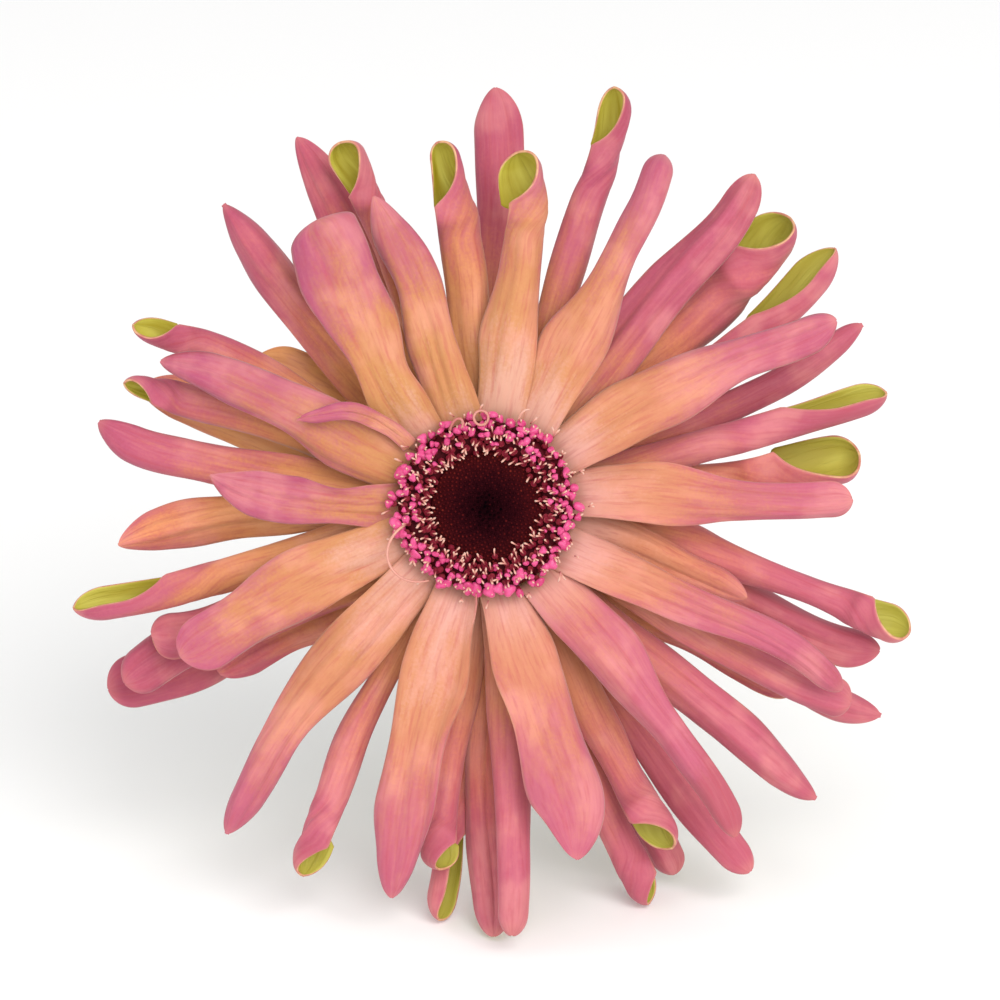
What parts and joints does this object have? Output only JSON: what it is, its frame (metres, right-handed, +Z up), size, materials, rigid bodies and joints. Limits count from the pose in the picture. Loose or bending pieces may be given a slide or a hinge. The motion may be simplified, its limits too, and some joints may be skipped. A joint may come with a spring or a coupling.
{
  "type": "cut gerbera",
  "caption": "Cut gerbera flower lying on its side: a wide head of rolled, strap-shaped ray florets round a dark eye, on a leafless curved stem.",
  "frame": {"origin": "on the table, under the middle of the whole flower's box", "axes": "+Z up from the table, the flower looks towards -Y and the stem runs back along +Y to its cut end, +X to the right as seen facing the flower"},
  "size_m": [0.1052, 0.2312, 0.1006],
  "materials": {
    "ray_floret": "soft satin, pink over peach, olive green inside the rolled margins",
    "stem": "matt green, fine ribs and short hairs",
    "bract": "matt green, hairy",
    "receptacle": "matt pale green",
    "disc_eye": "matt, near black maroon",
    "disc_crown": "satin hot pink with cream tips"
  },
  "bodies": {
    "root": {"bracts_inner": "bract", "bracts_outer": "bract", "disc_crown": "disc_crown", "disc_eye": "disc_eye", "ray_back_01": "ray_floret", "ray_back_02": "ray_floret", "ray_back_03": "ray_floret", "ray_back_04": "ray_floret", "ray_back_05": "ray_floret", "ray_back_06": "ray_floret", "ray_back_07": "ray_floret", "ray_back_08": "ray_floret", "ray_back_09": "ray_floret", "ray_back_10": "ray_floret", "ray_back_11": "ray_floret", "ray_back_12": "ray_floret", "ray_back_13": "ray_floret", "ray_back_14": "ray_floret", "ray_back_15": "ray_floret", "ray_front_01": "ray_floret", "ray_front_02": "ray_floret", "ray_front_03": "ray_floret", "ray_front_04": "ray_floret", "ray_front_05": "ray_floret", "ray_front_06": "ray_floret", "ray_front_07": "ray_floret", "ray_front_08": "ray_floret", "ray_front_09": "ray_floret", "ray_front_10": "ray_floret", "ray_front_11": "ray_floret", "ray_front_12": "ray_floret", "ray_front_13": "ray_floret", "ray_front_14": "ray_floret", "ray_lash": "ray_floret", "ray_second_01": "ray_floret", "ray_second_02": "ray_floret", "ray_second_03": "ray_floret", "ray_second_04": "ray_floret", "ray_second_05": "ray_floret", "ray_second_06": "ray_floret", "ray_second_07": "ray_floret", "ray_second_08": "ray_floret", "ray_second_09": "ray_floret", "ray_second_10": "ray_floret", "ray_second_11": "ray_floret", "ray_second_12": "ray_floret", "ray_third_01": "ray_floret", "ray_third_02": "ray_floret", "ray_third_03": "ray_floret", "ray_third_04": "ray_floret", "ray_third_05": "ray_floret", "ray_third_06": "ray_floret", "ray_third_07": "ray_floret", "ray_third_08": "ray_floret", "ray_third_09": "ray_floret", "ray_third_10": "ray_floret", "ray_third_11": "ray_floret", "ray_third_12": "ray_floret", "receptacle": "receptacle", "scape": "stem"}
  },
  "joints": []
}
